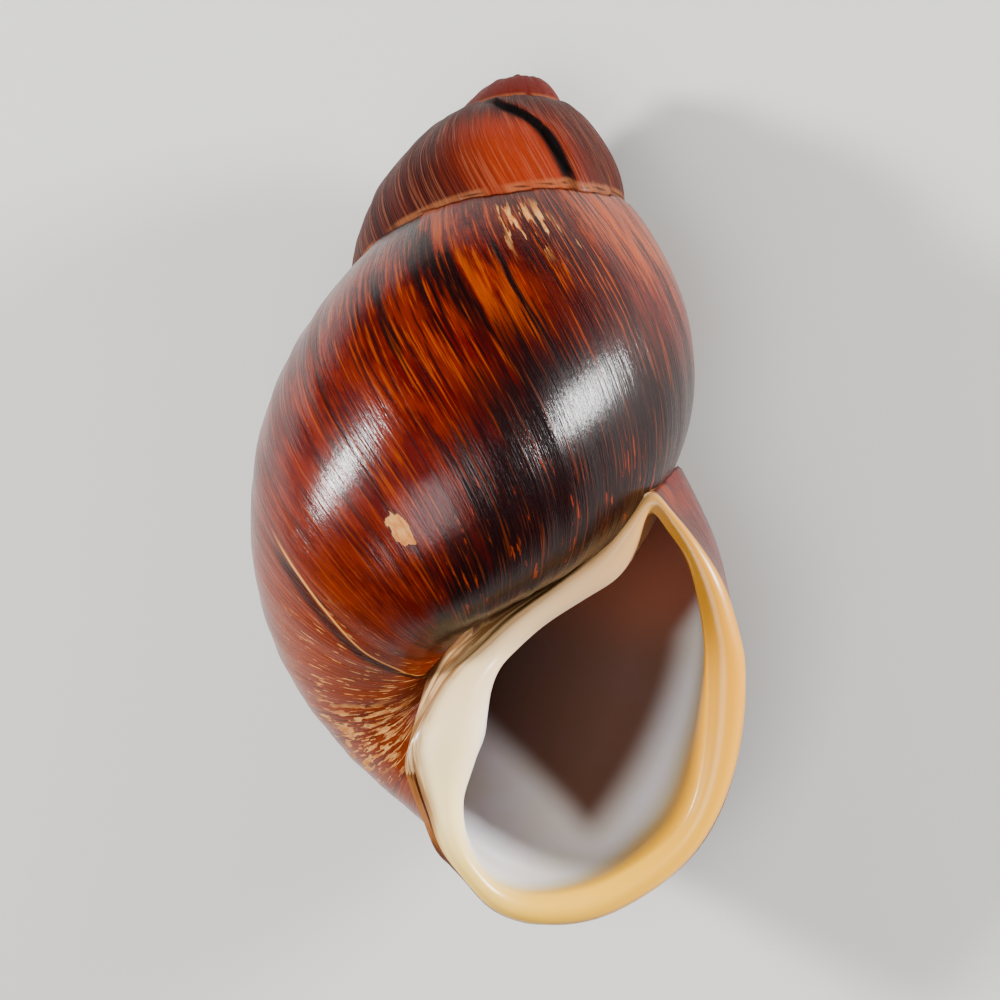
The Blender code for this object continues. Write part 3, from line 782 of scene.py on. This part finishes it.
def lime_finish(look):
    """Shell lime without skin, laid down in layers that end as smooth as porcelain.

    To the eye it has a soft sheen and a faint ripple: golden on the lip, cream on the columella side, bluish
    white on the wall behind, and brown in the depth, partly its own colour and partly painted shade.
    """
    f = Finish("polished shell lime")
    add, product, band, around = f.add, f.product, f.band, f.around
    past, round_lip = f.map_pair("lip")
    turn, circle = f.map_pair("place")
    depth = add("times", turn, -1.0)
    side = add("wrap", add("times", circle, 360.0), 180.0, -180.0)
    where = add("object place")
    cloud, grain = (add("noise", where, per_m, 3.0) for per_m in (CLOUDS_PER_M, GRAINS_PER_M))

    # Golden on the face of the lip, then the colours of the wall.
    face = set_stops(add("ramp", round_lip), [(at, hexa or look.gold) for at, hexa in LIP_FACE])
    inner = set_stops(add("ramp", round_lip), LIP_WALL)
    wavy = around(cloud, 0.5, 2.4, past)
    inward = add("minus", wavy, f.curve(round_lip, LIP_REACH, *LIP_REACH_MM))
    colour = add("mix", add("fade", inward, 0.0, 4.0), face, inner)
    blue = add("mix", add("fade", cloud, 0.35, 0.65), look.inside, "#DCD4CC")
    colour = add("mix", add("fade", inward, 2.5, 7.0), colour, blue)

    # Brown in the depth, further back along the lower wall: partly the inside's own brown and partly a painted
    # shadow, a dark V where neither soft box reaches past the lip.
    limit = add("times plus", depth, 165.0, -55.0)
    early = add("times plus", add("fade", side, 16.0, 42.0), 0.06, depth)
    brown = product(add("fade", early, 0.066, 0.120), add("fade", add("minus", side, limit), -6.0, 6.0))
    depth_brown_and_shade = add("mix", add("fade", side, 5.0, 35.0), look.depth, "#74300A")
    colour = add("mix", product(brown, 0.95), colour, depth_brown_and_shade)
    # Darker still deeper in: painted shade of the deep hollow over its brown.
    colour = add("mix", add("fade", depth, 0.30, 0.55), colour, "#2A140C")

    # The outer edge: a thin brown fringe, and a soft brown groove along the inner side of the opening.
    colour = add("mix", product(add("fade", wavy, 0.9, -0.1), 0.7), colour, "#A0662A")
    bands = add("join", add("times", past, 1.9), add("times", round_lip, 9.0))
    groove = add("mix", add("fade", add("flat noise", bands, *BAND_NOISE), 0.42, 0.60), "#6E4420", "#C8A270")
    rubbed = product(add("fade", wavy, 1.3, -0.2), band(round_lip, 0.36, 0.84, 0.04), 0.85)
    colour = add("mix", rubbed, colour, groove)
    colour = add("mix", product(add("fade", past, -1.6, -2.3), 0.9), colour, "#3A1408")
    # Lime keeps the default IOR of 1.5, and a roughness near 0.3 is that of unglazed, rubbed porcelain.
    return f.surface({
        "Base Color": colour, "Roughness": around(grain, 0.5, 0.12, 0.33), "Specular IOR Level": 0.30,
        "Coat Weight": 0.15, "Coat Roughness": 0.14, "Normal": add("bump", 0.25, look.lip_ripple, cloud),
    })


def make_shell(look):
    """One closed surface: a grid whose rows are laid along the shell, then its ends and its seam closed."""
    rows = surface_rows()
    last_row = len(rows) - 1
    points = placed(np.array([row[0] for row in rows]))
    turns, sides, profile, seams = (np.array([row[k] for row in rows]) for k in (1, 2, 3, 4))
    sides = sides + 2.0 * math.pi
    way = SEAM_AT + np.arange(POINTS + 1) / POINTS
    bare = BARE_MM * smooth((way % 1.0 - BARE_FROM) / BARE_EASE) * smooth((BARE_TO - way % 1.0) / BARE_EASE)

    bm = bmesh.new()
    bmesh.ops.create_grid(bm, x_segments=POINTS, y_segments=last_row, size=1.0)
    row_layer = bm.verts.layers.int.new("row")
    seam_layer = bm.verts.layers.float.new("seam")
    layers = [bm.loops.layers.uv.new(name) for name in ("growth", "place", "lip")]
    where = {}
    for v in bm.verts:
        i, j = round((v.co.y + 1.0) / 2.0 * last_row), round((v.co.x + 1.0) / 2.0 * POINTS)
        where[v] = i, j
        v.co = points[i, j]
        v[row_layer] = i
        v[seam_layer] = seams[i, j]
    for face in bm.faces:
        places = [where[loop.vert] for loop in face.loops]
        # The way round the lip runs from 0 to 1 again past its start.
        round_again = 1.0 if way[min(j for _, j in places)] >= 1.0 - 0.5 / POINTS else 0.0
        for loop, (i, j) in zip(face.loops, places):
            radius = LINE_RADIUS_MM * (SPIRE_PART if abs(turns[i, j]) > SPIRE_FROM else 1.0)
            loop[layers[0]].uv = (2.0 * math.pi * OUTER_REACH_MM * turns[i, j], sides[i, j] * radius)
            loop[layers[1]].uv = (turns[i, j], sides[i, j] / (2.0 * math.pi))
            loop[layers[2]].uv = (profile[i], way[j] - round_again)
        face.material_index = 0 if sum(profile[i] - bare[j] for i, j in places) < 0.0 else 1
        face.smooth = True

    for end in (0, last_row):
        verts = [v for v in bm.verts if where[v][0] == end]
        bmesh.ops.pointmerge(bm, verts=verts, merge_co=sum((v.co for v in verts), Vector()) / len(verts))
    bmesh.ops.remove_doubles(bm, verts=bm.verts[:], dist=SAME_POINT_M)
    bmesh.ops.dissolve_degenerate(bm, edges=bm.edges[:], dist=NO_EDGE_M)
    on_lip = [v for v in bm.verts if SMOOTH_LIP_MM[0] < profile[v[row_layer]] < SMOOTH_LIP_MM[1]]
    on_tip = [v for v in bm.verts if v[row_layer] < SMOOTH_TIP_ROWS]
    for verts, rounds in ((on_lip, LIP_ROUNDS), (on_tip, TIP_ROUNDS)):
        for _ in range(rounds):
            bmesh.ops.smooth_vert(bm, verts=verts, factor=0.5, use_axis_x=True, use_axis_y=True, use_axis_z=True)
    bm.verts.layers.int.remove(row_layer)
    bmesh.ops.recalc_face_normals(bm, faces=bm.faces[:])
    if bm.calc_volume(signed=True) < 0.0:
        bmesh.ops.reverse_faces(bm, faces=bm.faces[:])
    open_edges = sum(1 for e in bm.edges if len(e.link_faces) != 2)
    print("shell skin:", len(bm.verts), "points,", len(bm.faces), "faces, open edges", open_edges)

    mesh = bpy.data.meshes.new("shell_skin")
    bm.to_mesh(mesh)
    bm.free()
    mesh.materials.append(skin_finish(look))
    mesh.materials.append(lime_finish(look))
    piece = bpy.data.objects.new("shell_skin", mesh)
    bpy.context.scene.collection.objects.link(piece)
    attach(piece, "root")
    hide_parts("shell")
    return piece


def make_soft_box(name, direction, distance, size, power):
    """A lamp with a broad face, turned toward the shell."""
    data = bpy.data.lights.new(name, "AREA")
    data.shape = "RECTANGLE"
    data.size, data.size_y = size
    data.energy = power
    lamp = bpy.data.objects.new(name, data)
    lamp.location = Vector(LIT_SPOT) + Vector(direction).normalized() * distance
    lamp.rotation_euler = (Vector(LIT_SPOT) - lamp.location).to_track_quat("-Z", "Y").to_euler()
    bpy.context.scene.collection.objects.link(lamp)


def paper_finish():
    """Matt uncoated paper: a pale grey without gloss or grain at this distance."""
    return Finish("matt paper").surface({"Base Color": "#BDBCB8", "Roughness": 0.9, "Specular IOR Level": 0.2})


def make_stage(stage):
    """Pale floor, soft boxes, even light from all round, and the camera at the photograph's angle."""
    bm = bmesh.new()
    bmesh.ops.create_grid(bm, x_segments=1, y_segments=1, size=FLOOR_HALF_M)
    mesh = bpy.data.meshes.new("floor")
    bm.to_mesh(mesh)
    bm.free()
    mesh.materials.append(paper_finish())
    floor = bpy.data.objects.new("floor", mesh)
    bpy.context.scene.collection.objects.link(floor)

    for name, direction, distance, size, power in SOFT_BOXES:
        make_soft_box(name, direction, distance, size, power * stage.light)

    world = bpy.context.scene.world or bpy.data.worlds.new("studio")
    bpy.context.scene.world = world
    world.use_nodes = True
    back = world.node_tree.nodes["Background"]
    back.inputs["Color"].default_value = rgba("#E8ECF0")
    back.inputs["Strength"].default_value = stage.fill

    data = bpy.data.cameras.new("camera")
    data.lens, data.sensor_width, data.clip_start = LENS_MM, SENSOR_MM, NEAREST_SEEN_M
    camera = bpy.data.objects.new("camera", data)
    camera.location = CAMERA_AT
    camera.rotation_euler = [math.radians(a) for a in CAMERA_TURN_DEG]
    bpy.context.scene.collection.objects.link(camera)
    bpy.context.scene.camera = camera


def colour_setting(name, description, hexa):
    return FloatVectorProperty(
        name=name, description=description, default=linear(hexa), subtype="COLOR", min=0.0, max=1.0)


class ShellLook(bpy.types.PropertyGroup):
    line_depth: FloatProperty(
        name="Growth line depth", description="How deep the growth lines are cut", default=0.00009,
        min=0.0, max=0.001, subtype="DISTANCE", unit="LENGTH", precision=5)
    lip_ripple: FloatProperty(
        name="Lip ripple", description="How uneven the polished lip is", default=0.0002,
        min=0.0, max=0.002, subtype="DISTANCE", unit="LENGTH", precision=5)
    mahogany: colour_setting("Mahogany", "Ground colour of the skin", "#440300")
    black: colour_setting("Black streaks", "Dark zone and dark streaks of the skin", "#0A0203")
    amber: colour_setting("Amber streaks", "Pale streaks of the skin", "#8E3A02")
    spire: colour_setting("Spire", "Worn brick colour of the older turns", "#380E06")
    peel: colour_setting("Peeled skin", "Cream where the skin has come off", "#A8622A")
    gold: colour_setting("Lip", "Golden colour of the lip's outer side", "#CE8A04")
    inside: colour_setting("Inside", "Bluish white of the wall behind the lip", "#DEDAE0")
    # The depth colour is partly the inside's own brown and partly painted shade deep in the opening.
    depth: colour_setting("Depth", "Brown deeper in the opening", "#4A2209")


class ShellStage(bpy.types.PropertyGroup):
    light: FloatProperty(
        name="Light", description="Strength of the soft boxes", default=1.0, min=0.0, max=10.0, subtype="FACTOR")
    fill: FloatProperty(
        name="Fill", description="Strength of the even light from all round", default=0.10, min=0.0, max=5.0,
        subtype="FACTOR")


class SNAIL_OT_shell(bpy.types.Operator):
    """Make the shell's skin, lip and inside as one closed surface"""
    bl_idname = "snail.shell"
    bl_label = "Shell"
    bl_options = {"REGISTER", "UNDO"}

    def execute(self, context):
        piece = make_shell(context.scene.snail_look)
        if not piece.data.polygons:
            raise RuntimeError("the shell came out without faces")
        return {"FINISHED"}


class SNAIL_OT_stage(bpy.types.Operator):
    """Make the pale floor, the soft light and the camera"""
    bl_idname = "snail.stage"
    bl_label = "Stage"
    bl_options = {"REGISTER", "UNDO"}

    def execute(self, context):
        make_stage(context.scene.snail_stage)
        if context.scene.camera is None:
            raise RuntimeError("the stage has no camera")
        return {"FINISHED"}


class SNAIL_PT_panel(bpy.types.Panel):
    """Lists the shell's settings and what makes each part"""
    bl_idname = "SNAIL_PT_panel"
    bl_label = "Land snail shell"
    bl_space_type = "VIEW_3D"
    bl_region_type = "UI"
    bl_category = "Snail shell"

    def draw(self, context):
        scene = context.scene
        for settings, kind, operator in (
                (scene.snail_look, ShellLook, "snail.shell"), (scene.snail_stage, ShellStage, "snail.stage")):
            for name in kind.__annotations__:
                self.layout.prop(settings, name)
            self.layout.operator(operator)


CLASSES = (ShellLook, ShellStage, SNAIL_OT_shell, SNAIL_OT_stage, SNAIL_PT_panel)


def register():
    for cls in CLASSES:
        bpy.utils.register_class(cls)
    bpy.types.Scene.snail_look = PointerProperty(type=ShellLook)
    bpy.types.Scene.snail_stage = PointerProperty(type=ShellStage)


def unregister():
    del bpy.types.Scene.snail_stage
    del bpy.types.Scene.snail_look
    for cls in reversed(CLASSES):
        bpy.utils.unregister_class(cls)


def main():
    register()
    bpy.ops.snail.stage()
    bpy.ops.snail.shell()


if __name__ == "__main__":
    main()
